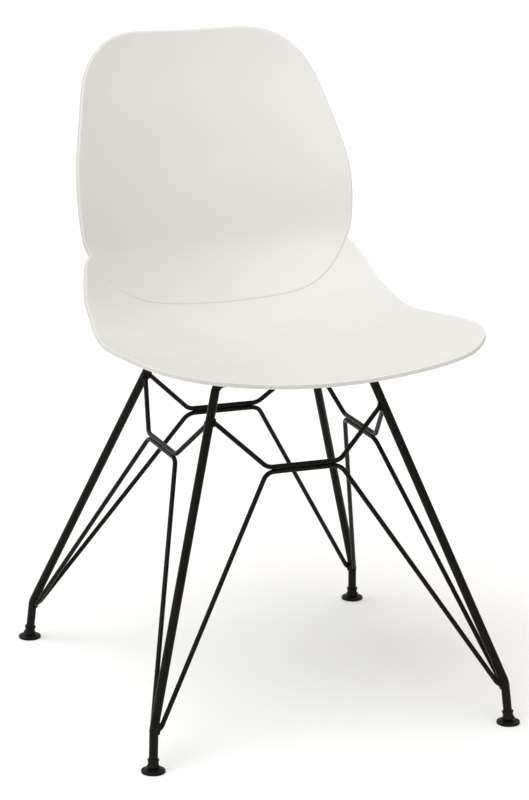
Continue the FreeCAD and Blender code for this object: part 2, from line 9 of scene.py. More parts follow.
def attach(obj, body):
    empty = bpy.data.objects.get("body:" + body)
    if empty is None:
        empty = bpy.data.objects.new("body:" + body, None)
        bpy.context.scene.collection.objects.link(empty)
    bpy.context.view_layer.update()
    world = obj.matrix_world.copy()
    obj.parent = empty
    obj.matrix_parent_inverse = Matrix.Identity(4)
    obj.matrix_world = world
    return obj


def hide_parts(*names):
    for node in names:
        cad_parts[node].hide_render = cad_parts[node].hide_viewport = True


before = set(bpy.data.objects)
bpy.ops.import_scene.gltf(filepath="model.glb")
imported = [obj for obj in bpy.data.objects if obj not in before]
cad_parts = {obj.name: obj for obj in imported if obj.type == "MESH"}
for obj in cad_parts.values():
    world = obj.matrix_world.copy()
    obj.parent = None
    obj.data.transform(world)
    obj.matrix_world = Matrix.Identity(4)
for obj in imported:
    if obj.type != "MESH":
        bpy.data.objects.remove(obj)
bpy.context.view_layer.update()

MM = 0.001
Y0 = -11.85                     # design frame to part frame, mm
BODY = "chair"


# ------------------------------------------------------------------- camera
def make_camera():
    az, el, roll = math.radians(-21.2), math.radians(15.4), math.radians(0.45)
    dist = 3871.9 * MM
    target = Vector((-0.1 * MM, Y0 * MM, 370.7 * MM))
    back = Vector((math.sin(az) * math.cos(el), -math.cos(az) * math.cos(el), math.sin(el)))
    right = (-back).cross(Vector((0, 0, 1))).normalized()
    up = right.cross(-back)
    cx = right * math.cos(roll) + up * math.sin(roll)
    cy = -right * math.sin(roll) + up * math.cos(roll)
    m = Matrix((cx, cy, back)).transposed().to_4x4()
    m.translation = target + back * dist
    cam = bpy.data.cameras.new("camera")
    ob = bpy.data.objects.new("camera", cam)
    bpy.context.scene.collection.objects.link(ob)
    ob.matrix_world = m
    cam.sensor_width = 36.0
    cam.lens = 3093.7 * 36.0 / 800.0
    cam.shift_x = (264.5 - 262.4) / 800.0
    cam.clip_start, cam.clip_end = 0.1, 200.0
    bpy.context.scene.camera = ob
    return ob


make_camera()


# ---------------------------------------------------------------- materials
def nodes_of(name):
    mat = bpy.data.materials.new(name)
    mat.use_nodes = True
    nt = mat.node_tree
    bsdf = next(n for n in nt.nodes if n.type == "BSDF_PRINCIPLED")
    return mat, nt, bsdf


def link(nt, a, ao, b, bi):
    nt.links.new(a.outputs[ao], b.inputs[bi])


def noise(nt, scale, detail=4.0, rough=0.5, dist=0.0):
    n = nt.nodes.new("ShaderNodeTexNoise")
    n.inputs["Scale"].default_value = scale
    n.inputs["Detail"].default_value = detail
    n.inputs["Roughness"].default_value = rough
    n.inputs["Distortion"].default_value = dist
    return n


def object_coords(nt):
    return nt.nodes.new("ShaderNodeTexCoord")


def ramp(nt, stops):
    r = nt.nodes.new("ShaderNodeValToRGB")
    e = r.color_ramp.elements
    e[0].position, e[0].color = stops[0][0], (*stops[0][1], 1)
    e[1].position, e[1].color = stops[-1][0], (*stops[-1][1], 1)
    for p, c in stops[1:-1]:
        k = e.new(p)
        k.color = (*c, 1)
    return r


def bump(nt, bsdf, height_node, out, strength, distance, chain=None):
    b = nt.nodes.new("ShaderNodeBump")
    b.inputs["Strength"].default_value = strength
    b.inputs["Distance"].default_value = distance
    link(nt, height_node, out, b, "Height")
    if chain is not None:
        link(nt, chain, "Normal", b, "Normal")
    link(nt, b, "Normal", bsdf, "Normal")
    return b


def shell_material(name="moulded_polypropylene", tone=(1.0, 1.0, 1.0), gloss=0.0):
    """Moulded polypropylene: warm white, fine spark-eroded grain, slight flow clouding."""
    mat, nt, bsdf = nodes_of(name)
    tc = object_coords(nt)
    cloud = noise(nt, 9.0, 3.0, 0.5)
    link(nt, tc, "Object", cloud, "Vector")
    stops = [(0.30, (0.742, 0.734, 0.702)), (0.55, (0.758, 0.751, 0.722)),
             (0.75, (0.772, 0.766, 0.740))]
    col = ramp(nt, [(p, tuple(a * b for a, b in zip(c, tone))) for p, c in stops])
    link(nt, cloud, "Fac", col, "Fac")
    link(nt, col, "Color", bsdf, "Base Color")
    grain = noise(nt, 2600.0, 2.0, 0.6)
    link(nt, tc, "Object", grain, "Vector")
    pit = nt.nodes.new("ShaderNodeTexVoronoi")
    pit.feature = "SMOOTH_F1"
    pit.inputs["Scale"].default_value = 1500.0
    link(nt, tc, "Object", pit, "Vector")
    wave = noise(nt, 30.0, 2.0, 0.4)
    link(nt, tc, "Object", wave, "Vector")
    b1 = bump(nt, bsdf, pit, "Distance", 0.10, 0.00018)
    b2 = bump(nt, bsdf, grain, "Fac", 0.12, 0.00010, b1)
    bump(nt, bsdf, wave, "Fac", 0.05, 0.0012, b2)
    rr = nt.nodes.new("ShaderNodeMapRange")
    rr.inputs["To Min"].default_value = 0.40 - gloss
    rr.inputs["To Max"].default_value = 0.52 - gloss
    link(nt, grain, "Fac", rr, "Value")
    link(nt, rr, "Result", bsdf, "Roughness")
    bsdf.inputs["IOR"].default_value = 1.49
    bsdf.inputs["Subsurface Weight"].default_value = 0.06
    bsdf.inputs["Subsurface Radius"].default_value = (0.004, 0.0035, 0.003)
    bsdf.inputs["Subsurface Scale"].default_value = 1.0
    return mat


def coat_material(name="black_powder_coat", worn=0.0):
    """Satin black powder coat: orange peel, a little dust in the colour."""
    mat, nt, bsdf = nodes_of(name)
    tc = object_coords(nt)
    n = noise(nt, 60.0, 4.0, 0.6)
    link(nt, tc, "Object", n, "Vector")
    col = ramp(nt, [(0.3, (0.0036, 0.0029, 0.0019)), (0.7, (0.0064, 0.0053, 0.0037))])
    link(nt, n, "Fac", col, "Fac")
    link(nt, col, "Color", bsdf, "Base Color")
    peel = noise(nt, 900.0, 2.0, 0.5)
    link(nt, tc, "Object", peel, "Vector")
    fine = noise(nt, 3200.0, 2.0, 0.6)
    link(nt, tc, "Object", fine, "Vector")
    b1 = bump(nt, bsdf, peel, "Fac", 0.22, 0.00012)
    bump(nt, bsdf, fine, "Fac", 0.15, 0.00005, b1)
    rr = nt.nodes.new("ShaderNodeMapRange")
    rr.inputs["From Min"].default_value = 0.3
    rr.inputs["From Max"].default_value = 0.7
    rr.inputs["To Min"].default_value = 0.26
    rr.inputs["To Max"].default_value = 0.38
    link(nt, n, "Fac", rr, "Value")
    link(nt, rr, "Result", bsdf, "Roughness")
    bsdf.inputs["Specular IOR Level"].default_value = 0.12
    bsdf.inputs["Specular Tint"].default_value = (1.0, 0.93, 0.80, 1)
    return mat


def black_plastic_material():
    """Glides: injection moulded nylon, matte, with faint scuffs."""
    mat, nt, bsdf = nodes_of("black_nylon")
    tc = object_coords(nt)
    n = noise(nt, 140.0, 5.0, 0.65)
    link(nt, tc, "Object", n, "Vector")
    col = ramp(nt, [(0.35, (0.0040, 0.0036, 0.0033)), (0.65, (0.0072, 0.0066, 0.0060))])
    link(nt, n, "Fac", col, "Fac")
    link(nt, col, "Color", bsdf, "Base Color")
    grain = noise(nt, 3000.0, 2.0, 0.6)
    link(nt, tc, "Object", grain, "Vector")
    bump(nt, bsdf, grain, "Fac", 0.25, 0.00006)
    rr = nt.nodes.new("ShaderNodeMapRange")
    rr.inputs["To Min"].default_value = 0.42
    rr.inputs["To Max"].default_value = 0.62
    link(nt, n, "Fac", rr, "Value")
    link(nt, rr, "Result", bsdf, "Roughness")
    bsdf.inputs["Specular IOR Level"].default_value = 0.14
    bsdf.inputs["Specular Tint"].default_value = (1.0, 0.93, 0.82, 1)
    return mat


def rubber_material():
    mat, nt, bsdf = nodes_of("mount_rubber")
    tc = object_coords(nt)
    n = noise(nt, 200.0, 4.0, 0.6)
    link(nt, tc, "Object", n, "Vector")
    col = ramp(nt, [(0.3, (0.020, 0.020, 0.020)), (0.7, (0.035, 0.034, 0.033))])
    link(nt, n, "Fac", col, "Fac")
    link(nt, col, "Color", bsdf, "Base Color")
    bump(nt, bsdf, n, "Fac", 0.2, 0.0002)
    bsdf.inputs["Roughness"].default_value = 0.8
    return mat


def metal_material(name, low, high, r0, r1, scale):
    mat, nt, bsdf = nodes_of(name)
    tc = object_coords(nt)
    n = noise(nt, scale, 5.0, 0.6)
    link(nt, tc, "Object", n, "Vector")
    col = ramp(nt, [(0.3, low), (0.7, high)])
    link(nt, n, "Fac", col, "Fac")
    link(nt, col, "Color", bsdf, "Base Color")
    bsdf.inputs["Metallic"].default_value = 1.0
    rr = nt.nodes.new("ShaderNodeMapRange")
    rr.inputs["To Min"].default_value = r0
    rr.inputs["To Max"].default_value = r1
    link(nt, n, "Fac", rr, "Value")
    link(nt, rr, "Result", bsdf, "Roughness")
    bump(nt, bsdf, n, "Fac", 0.1, 0.0001)
    return mat


SHELL = shell_material()
# painted shade: a darker, warmer copy of the shell colour for the rim's sides and underside, where shade
# falls
SHELL_PAINTED_SHADE = shell_material("moulded_polypropylene_painted_shade_rim", (0.815, 0.81, 0.775))
# painted highlight: a lighter copy of the shell colour for the rounded lip, where the rounding catches the
# light; its lower roughness makes the lip glossier
SHELL_PAINTED_HIGHLIGHT = shell_material("moulded_polypropylene_lip_painted_highlight", (1.045, 1.05, 1.07), 0.14)
COAT = coat_material()
NYLON = black_plastic_material()
RUBBER = rubber_material()
ZINC = metal_material("zinc_plate", (0.55, 0.55, 0.56), (0.68, 0.68, 0.70), 0.25, 0.42, 400.0)
BRASS = metal_material("turned_brass", (0.62, 0.46, 0.20), (0.74, 0.58, 0.30), 0.22, 0.38, 500.0)


def paint(node, mat):
    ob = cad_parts[node]
    if not ob.material_slots:
        ob.data.materials.append(mat)
    for s in ob.material_slots:
        s.material = mat


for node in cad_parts:
    if "rod" in node or "wire" in node or "tab" in node:
        paint(node, COAT)
    elif node.startswith("glide"):
        paint(node, NYLON)
    elif node.endswith("_pad"):
        paint(node, RUBBER)
    elif node in ("mount_washers", "mount_screws"):
        paint(node, ZINC)
    elif node == "thread_inserts":
        paint(node, BRASS)
    else:
        paint(node, SHELL)


# -------------------------------------------------------------- shell surface
SIDE = np.array([(-239.6, 451.3), (-204.8, 450.5), (-159.9, 451.6), (-110.0, 448.0),
                 (-60.1, 444.4), (-10.0, 442.2), (40.0, 438.2), (85.7, 440.9), (123.0, 448.5),
                 (154.2, 467.1), (180.6, 493.8), (199.7, 525.0), (208.6, 560.8), (217.6, 601.2),
                 (231.6, 642.9), (248.8, 692.4), (267.4, 736.0), (286.7, 793.7)])
DISH = np.array([6.26, 5.48, 5.6, 5.93, 10.61, 13.86, 13.98, 14.0, 13.01, 13.98]) * 1e-4
SEAT = [(0.4, 0.0), (0.4, 99.9), (2.2, 155.0), (11.0, 182.4), (35.0, 205.9), (74.2, 230.2),
        (131.1, 234.2), (193.4, 227.4), (250.2, 212.9), (304.6, 204.9), (360.1, 197.8),
        (414.6, 193.2), (454.9, 180.3)]
BACK = [(390.0, 0.0), (390.0, 71.6), (377.9, 123.2), (440.3, 175.3), (495.0, 184.4),
        (544.0, 189.5), (598.0, 182.4), (655.1, 167.7), (706.8, 155.3), (741.3, 129.9),
        (761.3, 89.3), (758.7, 47.0), (758.7, 0.0)]
WALL, STEP, OVERLAP = 5.5, 1.1, 12.0


class Natural:
    def __init__(self, t, f):
        n = len(t)
        h = np.diff(t)
        A = np.zeros((n, n))
        r = np.zeros(n)
        A[0, 0] = A[-1, -1] = 1.0
        for i in range(1, n - 1):
            A[i, i - 1:i + 2] = h[i - 1], 2 * (h[i - 1] + h[i]), h[i]
            r[i] = 6 * ((f[i + 1] - f[i]) / h[i] - (f[i] - f[i - 1]) / h[i - 1])
        self.t, self.f, self.m, self.h = np.asarray(t), np.asarray(f), np.linalg.solve(A, r), h

    def __call__(self, s, slope=False):
        s = np.asarray(s, float)
        c = np.clip(s, self.t[0], self.t[-1])
        i = np.clip(np.searchsorted(self.t, c, side="right") - 1, 0, len(self.h) - 1)
        h, f, m = self.h[i], self.f, self.m
        A, B = (self.t[i + 1] - c) / h, (c - self.t[i]) / h
        v = A * f[i] + B * f[i + 1] + ((A ** 3 - A) * m[i] + (B ** 3 - B) * m[i + 1]) * h * h / 6
        d = (f[i + 1] - f[i]) / h + (-(3 * A * A - 1) * m[i] + (3 * B * B - 1) * m[i + 1]) * h / 6
        return (v + d * (s - c), d) if slope else v + d * (s - c)


T = np.r_[0.0, np.cumsum(np.hypot(*np.diff(SIDE, axis=0).T))]
LY, LZ = Natural(T, SIDE[:, 0]), Natural(T, SIDE[:, 1])
LK = Natural(np.linspace(0, T[-1], len(DISH)), DISH)


def middle(s, x):
    y, dy = LY(s, True)
    z, dz = LZ(s, True)
    ln = np.hypot(dy, dz)
    k = LK(np.clip(s, 0, T[-1]))
    return np.stack([x + 0 * y, y - dz / ln * k * x * x + Y0, z + dy / ln * k * x * x], -1)


def tangents(s, x):
    e = 0.5
    return middle(s + e, x) - middle(s - e, x), middle(s, x + e) - middle(s, x - e)


def sheet_point(s, x, off):
    """A point at a distance off from the middle surface, towards the sitter, in metres."""
    ds, dx = tangents(s, x)
    n = np.cross(dx, ds)
    n /= np.linalg.norm(n, axis=-1, keepdims=True)
    return (middle(s, x) + n * np.asarray(off)[..., None]) * MM


def bspline(ctrl, count):
    P = np.array(ctrl, float)
    n = len(P)
    kn = np.r_[[0.0] * 3, np.linspace(0, 1, n - 2), [1.0] * 3]
    out = []
    for u in np.linspace(0, 1, count):
        i = min(max(int(np.searchsorted(kn, u, side="right")) - 1, 3), n - 1)
        d = [P[i - 3 + r].copy() for r in range(4)]
        for k in range(1, 4):
            for r in range(3, k - 1, -1):
                lo, hi = kn[i - 3 + r], kn[i + 1 + r - k]
                a = 0.0 if hi == lo else (u - lo) / (hi - lo)
                d[r] = (1 - a) * d[r - 1] + a * d[r]
        out.append(d[3])
    return np.array(out)


def resample(loop, step, closed=True):
    """Points of a (s, x) line at an even real spacing, mm."""
    P = np.vstack([loop, loop[:1]]) if closed else loop
    M = middle(P[:, 0], P[:, 1])
    L = np.r_[0.0, np.cumsum(np.linalg.norm(np.diff(M, axis=0), axis=1))]
    n = max(8, int(round(L[-1] / step)))
    u = np.linspace(0, L[-1], n + 1)
    out = np.stack([np.interp(u, L, P[:, 0]), np.interp(u, L, P[:, 1])], 1)
    return out[:-1] if closed else out


def both_sides(half):
    """Half outline from the middle round to the middle, to a closed loop."""
    m = half[::-1].copy()
    m[:, 1] *= -1
    return np.vstack([half, m[1:-1]]) if abs(half[-1, 1]) < 1e-6 else np.vstack([half, m[:-1]])


def inset_dirs(loop):
    """Per point, the (s, x) step that moves 1 mm inwards on the surface, square to the loop."""
    t = np.roll(loop, -1, 0) - np.roll(loop, 1, 0)
    ds, dx = tangents(loop[:, 0], loop[:, 1])          # per mm of s and x
    E = (ds * ds).sum(1)
    F = (ds * dx).sum(1)
    G = (dx * dx).sum(1)
    a = -(F * t[:, 0] + G * t[:, 1])
    b = (E * t[:, 0] + F * t[:, 1])
    ln = np.sqrt(E * a * a + 2 * F * a * b + G * b * b)
    v = np.stack([a / ln, b / ln], 1)
    area = 0.5 * np.sum(loop[:, 0] * np.roll(loop[:, 1], -1) - np.roll(loop[:, 0], -1) * loop[:, 1])
    inside = np.stack([-t[:, 1], t[:, 0]], 1) * np.sign(area)
    return v * np.sign((v * inside).sum(1))[:, None]


def inside_poly(p, poly):
    x, y = p[:, 0], p[:, 1]
    c = np.zeros(len(p), bool)
    a, b = poly, np.roll(poly, -1, 0)
    for (x1, y1), (x2, y2) in zip(a, b):
        hit = ((y1 > y) != (y2 > y))
        if y1 != y2:
            c ^= hit & (x < (x2 - x1) * (y - y1) / (y2 - y1) + x1)
    return c


def poly_distance(p, poly):
    best = np.full(len(p), 1e9)
    a, b = poly, np.roll(poly, -1, 0)
    for q, r in zip(a, b):
        d = r - q
        u = np.clip(((p - q) @ d) / max(d @ d, 1e-12), 0, 1)
        best = np.minimum(best, np.hypot(*(p - q - u[:, None] * d).T))
    return best


def lobe(loop, low, high, power=4.5, edge_from=None, edge_to=1e9, pitch=6.0, step=3.0):
    """Watertight sheet between two offsets, with a rounded rim along the loop.

    Between edge_from and edge_to (distance along the side curve) the rim's side gets
    the second material, a darker copy of the shell colour that paints shade there, and its
    rounded lip the third, a lighter copy that paints a highlight. Returns points, faces and each face's
    material number.
    """
    loop = resample(loop, step)
    for _ in range(4):
        loop = 0.5 * loop + 0.25 * (np.roll(loop, 1, 0) + np.roll(loop, -1, 0))
        loop = resample(loop, step)
    v = inset_dirs(loop)
    n = len(loop)
    h, c = (high - low) / 2.0, (high + low) / 2.0
    q_rim = h * np.array([0.0, 0.004, 0.02, 0.05, 0.10, 0.18, 0.30, 0.50, 1.0])
    q_in = np.array([h + 0.7, h + 1.9, h + 3.6])
    verts, faces = [], []
    painted_shade_faces, painted_highlight_faces = set(), set()

    def ring(q, off):
        p = loop + v * q
        verts.extend(sheet_point(p[:, 0], p[:, 1], np.full(n, off)))
        return len(verts) - n

    edge = ring(0.0, c)
    for sign in (1.0, -1.0):
        prev = edge
        for m, q in enumerate(list(q_rim[1:]) + list(q_in)):
            f = (1 - (1 - min(q / h, 1.0)) ** power) ** (1.0 / power)
            cur = ring(q, c + sign * h * f)
            for k in range(n):
                a, b = prev + k, prev + (k + 1) % n
                d, e = cur + k, cur + (k + 1) % n
                # along this span the rim's sides get the darker painted shade, and the rounded lip on the
                # sitter's side gets the lighter painted highlight
                if edge_from is not None and edge_from < loop[k, 0] < edge_to:
                    if m < ((4 if power > 3 else 5) if sign > 0 else 7):
                        painted_shade_faces.add(len(faces))
                    elif sign > 0 and m < 8:
                        painted_highlight_faces.add(len(faces))
                faces.append((a, b, e, d) if sign > 0 else (b, a, d, e))
            prev = cur
        inner = loop + v * q_in[-1]
        lo, hi = inner.min(0), inner.max(0)
        gs = np.arange(math.floor(lo[0] / pitch) * pitch, hi[0] + pitch, pitch)
        gx = np.arange(-math.ceil(hi[1] / pitch), math.ceil(hi[1] / pitch) + 1) * pitch
        S, X = np.meshgrid(gs, gx, indexing="ij")
        pts = np.stack([S.ravel(), X.ravel()], 1)
        ok = inside_poly(pts, inner) & (poly_distance(pts, inner) > 0.55 * pitch)
        idx = -np.ones(len(pts), int)
        idx[ok] = np.arange(ok.sum())
        G = idx.reshape(S.shape)
        full = (G[:-1, :-1] >= 0) & (G[1:, :-1] >= 0) & (G[:-1, 1:] >= 0) & (G[1:, 1:] >= 0)
        cells = {}
        edges = [(k, (k + 1) % n) for k in range(n)]
        for i, j in zip(*np.nonzero(full)):
            quad = (G[i, j], G[i + 1, j], G[i + 1, j + 1], G[i, j + 1])
            cells[(i, j)] = quad
            for a, b in zip(quad, quad[1:] + quad[:1]):
                edges.append((n + a, n + b))
        co = np.vstack([inner, pts[ok]])
        edges = list({tuple(sorted(e)) for e in edges})
        out = delaunay_2d_cdt([Vector(p) for p in co], edges, [], 1, 1e-6)
        if len(out[0]) != len(co):
            raise RuntimeError("triangulation added points")
        order = [o[0] for o in out[3]]
        base = len(verts)
        inner_pts = pts[ok]
        verts.extend(sheet_point(inner_pts[:, 0], inner_pts[:, 1],
                                 np.full(len(inner_pts), c + sign * h)))

        def gid(a):
            return prev + a if a < n else base + a - n
        flip = None
        for tri in out[2]:
            t = [order[a] for a in tri]
            cs, cxx = co[t].mean(0)
            i, j = int((cs - gs[0]) // pitch), int((cxx - gx[0]) // pitch)
            if (i, j) in cells:
                continue
            # anticlockwise in (s, x) looks away from the sitter
            (s1, x1), (s2, x2), (s3, x3) = co[t]
            ccw = (s2 - s1) * (x3 - x1) - (s3 - s1) * (x2 - x1) > 0
            if ccw == (sign > 0):
                t = t[::-1]
            faces.append(tuple(gid(a) for a in t))
        for quad in cells.values():
            f = tuple(base + a for a in quad)
            faces.append(f[::-1] if sign > 0 else f)
    return (np.array(verts), faces,
            [1 if k in painted_shade_faces else 2 if k in painted_highlight_faces else 0 for k in range(len(faces))])


def new_mesh(name, verts, faces, mat, smooth=True):
    me = bpy.data.meshes.new(name)
    me.from_pydata([tuple(v) for v in verts], [], [tuple(f) for f in faces])
    me.validate()
    me.materials.append(mat)
    ob = bpy.data.objects.new(name, me)
    bpy.context.scene.collection.objects.link(ob)
    for p in me.polygons:
        p.use_smooth = smooth
    me.update()
    return ob


def outward(verts, faces):
    """Turns all faces the other way if the closed mesh is inside out."""
    V = np.asarray(verts)
    vol = 0.0
    for f in faces:
        a = V[f[0]]
        for i in range(1, len(f) - 1):
            vol += np.dot(a, np.cross(V[f[i]], V[f[i + 1]]))
    return [f[::-1] for f in faces] if vol < 0 else list(faces)


seat_half = bspline(SEAT, 241)
back_half = bspline(BACK, 241)
# the notch: where the two outlines cross
d2 = ((seat_half[:, None] - back_half[None]) ** 2).sum(2)
d2[:120] = 1e9
ni, nj = np.unravel_index(d2.argmin(), d2.shape)
notch = 0.5 * (seat_half[ni] + back_half[nj])
# behind the back lobe the seat lobe ends in a line that follows the step
tail_dir = seat_half[ni] - seat_half[ni - 6]
tail_dir /= np.linalg.norm(tail_dir)
step_line = back_half[:nj + 1]
vs = inset_dirs(both_sides(back_half))[:nj + 1]
hidden = (step_line + vs * OVERLAP)
hidden = hidden[hidden[:, 1] < notch[1] - 34.0][::-1]
turn_in = np.array([tail_dir[1], -tail_dir[0]])
bend_c = notch + tail_dir * 11.0 + turn_in * 9.0
bridge = [notch] + [bend_c + 9.0 * (tail_dir * math.sin(a) - turn_in * math.cos(a))
                    for a in np.radians(np.arange(0, 151, 10))]
seat_ctrl = np.vstack([seat_half[:ni], bridge, hidden])
seat_ctrl[-1, 1] = 0.0
seat_loop = both_sides(seat_ctrl)
back_loop = both_sides(back_half)

parts, tones = [], []
for loop, lo, hi, power, e0, e1 in (
        (seat_loop, -WALL / 2, WALL / 2, 4.5, -50.0, notch[0] - 2.0),
        (back_loop, -WALL / 2 + STEP, WALL / 2 + STEP, 2.2, notch[0] + 3.0, 1e9)):
    v, f, m = lobe(loop, lo, hi, power, e0, e1)
    parts.append((v, outward(v, f)))
    tones += m


def underside(X, Y, off=-WALL / 2):
    """Height of the shell's underside over a point of the plan (mm)."""
    X, Y = np.asarray(X, float), np.asarray(Y, float)
    s = np.interp(Y - Y0, SIDE[:10, 0], T[:10])
    x = X.copy()
    for _ in range(12):
        p = sheet_point(s, x, np.full(s.shape, off)) / MM
        s = s + (Y - p[..., 1])
        x = x + (X - p[..., 0])
    return p[..., 2]


def boss(cx, cy):
    """Moulded boss: chamfered ring with a hole, flared into the shell."""
    n = 64
    ro, ri, z0 = 11.5, 4.25, 438.0
    ang = np.arange(n) * 2 * math.pi / n
    one = np.ones(n)

    def under(r):
        return underside(cx + r * np.cos(ang), cy + r * np.sin(ang))

    rings = [(ri * one, (z0 + 7.6) * one), (ri * one, (z0 + 0.5) * one),
             ((ri + 0.15) * one, (z0 + 0.15) * one), ((ri + 0.5) * one, z0 * one),
             ((ro - 0.9) * one, z0 * one), ((ro - 0.3) * one, (z0 + 0.25) * one),
             (ro * one, (z0 + 0.9) * one)]
    for q in (0.0, 0.2, 0.4, 0.6, 0.8, 1.0):
        th = q * math.pi / 2
        r = ro + 2.0 * (1 - math.cos(th))
        z = np.maximum(under(r) - 2.0 + 2.0 * math.sin(th), z0 + 0.95 + 0.05 * q)
        rings.append((r * one, z + (0.15 if q == 1.0 else 0.0)))
    rings.append(((ro + 1.6) * one, under(ro + 1.6) + 1.2))
    V = np.vstack([np.stack([cx + r * np.cos(ang), cy + r * np.sin(ang), z], 1) for r, z in rings])
    F = [(a * n + k, a * n + (k + 1) % n, (a + 1) * n + (k + 1) % n, (a + 1) * n + k)
         for a in range(len(rings) - 1) for k in range(n)]
    lid = float(underside(np.array([cx]), np.array([cy]))[0])
    V = np.vstack([V, [cx, cy, z0 + 7.6], [cx, cy, lid + 1.2]])
    last = (len(rings) - 1) * n
    for k in range(n):
        F.append((len(V) - 2, (k + 1) % n, k))
        F.append((last + k, last + (k + 1) % n, len(V) - 1))
    return V * MM, outward(V, F)


for sx in (-1, 1):
    for sy in (-1, 1):
        parts.append(boss(66.0 * sx, 80.0 * sy + Y0))

allv, allf = [], []
for v, f in parts:
    k = sum(len(a) for a in allv)
    allv.append(v)
    allf += [tuple(i + k for i in q) for q in f]
shell = new_mesh("moulded_shell", np.vstack(allv), allf, SHELL)
# material 1 is the darker painted shade on the rim, material 2 the lighter painted highlight on the lip
shell.data.materials.append(SHELL_PAINTED_SHADE)
shell.data.materials.append(SHELL_PAINTED_HIGHLIGHT)
if len(shell.data.polygons) != len(allf):
    raise RuntimeError("faces were dropped")
for k, m in enumerate(tones):
    shell.data.polygons[k].material_index = m
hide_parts("seat_shell")
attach(shell, BODY)

# ---------------------------------------------------------------- weld beads
ROD_R, WIRE_R = 5.5, 3.0
TOP_C, FOOT_C = (99.4, 102.8, 427.0), (229.0, 244.2, 52.0)
STUB = np.array([3.4, 6.5, -48.5])
LEVEL, PITCH, PLANE_Y, PLANE_X = 323.9, 6.02, 140.5, 133.0
HALF = {"fu": 47.3, "fl": 48.1, "su": 50.7, "sl": 49.6}
AIM = {"fu": 387.6, "fl": 34.6, "su": 384.4, "sl": 32.0}
TURN_Z, END_Z = 52.6, 44.6


def rounded(points, radii, step=1.0):
    """Points along a path with its inner corners rounded."""
    pts = [np.array(p, float) for p in points]
    out = [pts[0]]
    for i in range(1, len(pts) - 1):
        a = pts[i - 1] - pts[i]
        b = pts[i + 1] - pts[i]
        a /= np.linalg.norm(a)
        b /= np.linalg.norm(b)
        turn = math.pi - math.acos(max(-1.0, min(1.0, float(a @ b))))
        t = radii[i - 1] * math.tan(turn / 2)
        bis = (a + b) / np.linalg.norm(a + b)
        c = pts[i] + bis * radii[i - 1] / math.cos(turn / 2)
        u = (pts[i] + a * t - c) / radii[i - 1]
        w = (pts[i] + b * t - c) / radii[i - 1]
        for k in range(9):
            q = k / 8.0
            out.append(c + radii[i - 1] * (u * math.sin((1 - q) * turn) + w * math.sin(q * turn))
                       / math.sin(turn))
    out.append(pts[-1])
    return np.array(out)


def even(path, step):
    L = np.r_[0.0, np.cumsum(np.linalg.norm(np.diff(path, axis=0), axis=1))]
    u = np.linspace(0, L[-1], max(2, int(L[-1] / step)) + 1)
    return np.stack([np.interp(u, L, path[:, k]) for k in range(3)], 1)


def distance(P, path):
    best = np.full(P.shape[:-1], 1e9)
    for a, b in zip(path[:-1], path[1:]):
        d = b - a
        t = np.clip(((P - a) @ d) / (d @ d), 0, 1)
        best = np.minimum(best, np.linalg.norm(P - a - t[..., None] * d, axis=-1))
    return best


def rod_at(z):
    if z >= FOOT_C[2]:
        u = (TOP_C[2] - z) / (TOP_C[2] - FOOT_C[2])
        return np.array([TOP_C[0] + (FOOT_C[0] - TOP_C[0]) * u,
                         TOP_C[1] + (FOOT_C[1] - TOP_C[1]) * u, z])
    return np.array(FOOT_C) + STUB * ((FOOT_C[2] - z) / 48.5)


def wire_path(key):
    """One arm of a brace wire, from its flat to the leg rod, on the +X +Y corner."""
    upper = key[1] == "u"
    level = LEVEL + (PITCH / 2 if upper else -PITCH / 2)
    along = np.array([1.0, 0, 0]) if key[0] == "f" else np.array([0, 1.0, 0])
    flat = np.array([0, PLANE_Y, level]) if key[0] == "f" else np.array([PLANE_X, 0, level])
    line = rod_at(AIM[key])
    end = line if upper else rod_at(END_Z)
    out = end - flat
    out = out - along * (out @ along)
    drop = np.linalg.norm(out)
    out /= drop
    pts = [flat, flat + along * HALF[key]]
    radii = [17.0]
    if not upper:
        k = (level - TURN_Z) / (level - AIM[key])
        pts.append(flat + along * (HALF[key] + (line @ along - HALF[key]) * k)
                   + out * drop * (level - TURN_Z) / (level - END_Z))
        radii.append(8.0)
    pts.append(flat + along * (end @ along) + out * drop)
    return rounded(pts, radii), np.cross(along, out)


def tube(line, radius, closed, sides=10):
    """A tube along a line of points with a radius at each point, mm."""
    n = len(line)
    if closed:
        t = np.roll(line, -1, 0) - np.roll(line, 1, 0)
    else:
        t = np.gradient(line, axis=0)
    t /= np.linalg.norm(t, axis=1, keepdims=True)
    u = np.cross(t[0], [0.31, 0.52, 0.79])
    rings = []
    for k in range(n):
        u = u - t[k] * (u @ t[k])
        u /= np.linalg.norm(u)
        w = np.cross(t[k], u)
        a = np.arange(sides) * 2 * math.pi / sides
        rings.append(line[k] + radius[k] * (np.cos(a)[:, None] * u + np.sin(a)[:, None] * w))
    V = np.vstack(rings)
    F = []
    for k in range(n if closed else n - 1):
        m = (k + 1) % n
        shift = 0
        if closed and m == 0:
            # the frame has turned on its way round: join to the nearest start
            d = [np.linalg.norm(np.roll(rings[0], -j, 0) - rings[k]) for j in range(sides)]
            shift = int(np.argmin(d))
        for j in range(sides):
            a, b = k * sides + j, k * sides + (j + 1) % sides
            c, e = m * sides + (j + 1 + shift) % sides, m * sides + (j + shift) % sides
            F.append((a, b, c, e))
    if not closed:
        V = np.vstack([V, line[0] - t[0] * radius[0] * 0.6, line[-1] + t[-1] * radius[-1] * 0.6])
        for j in range(sides):
            F.append((len(V) - 2, (j + 1) % sides, j))
            F.append((len(V) - 1, (n - 1) * sides + j, (n - 1) * sides + (j + 1) % sides))
    return V, outward(V, F)


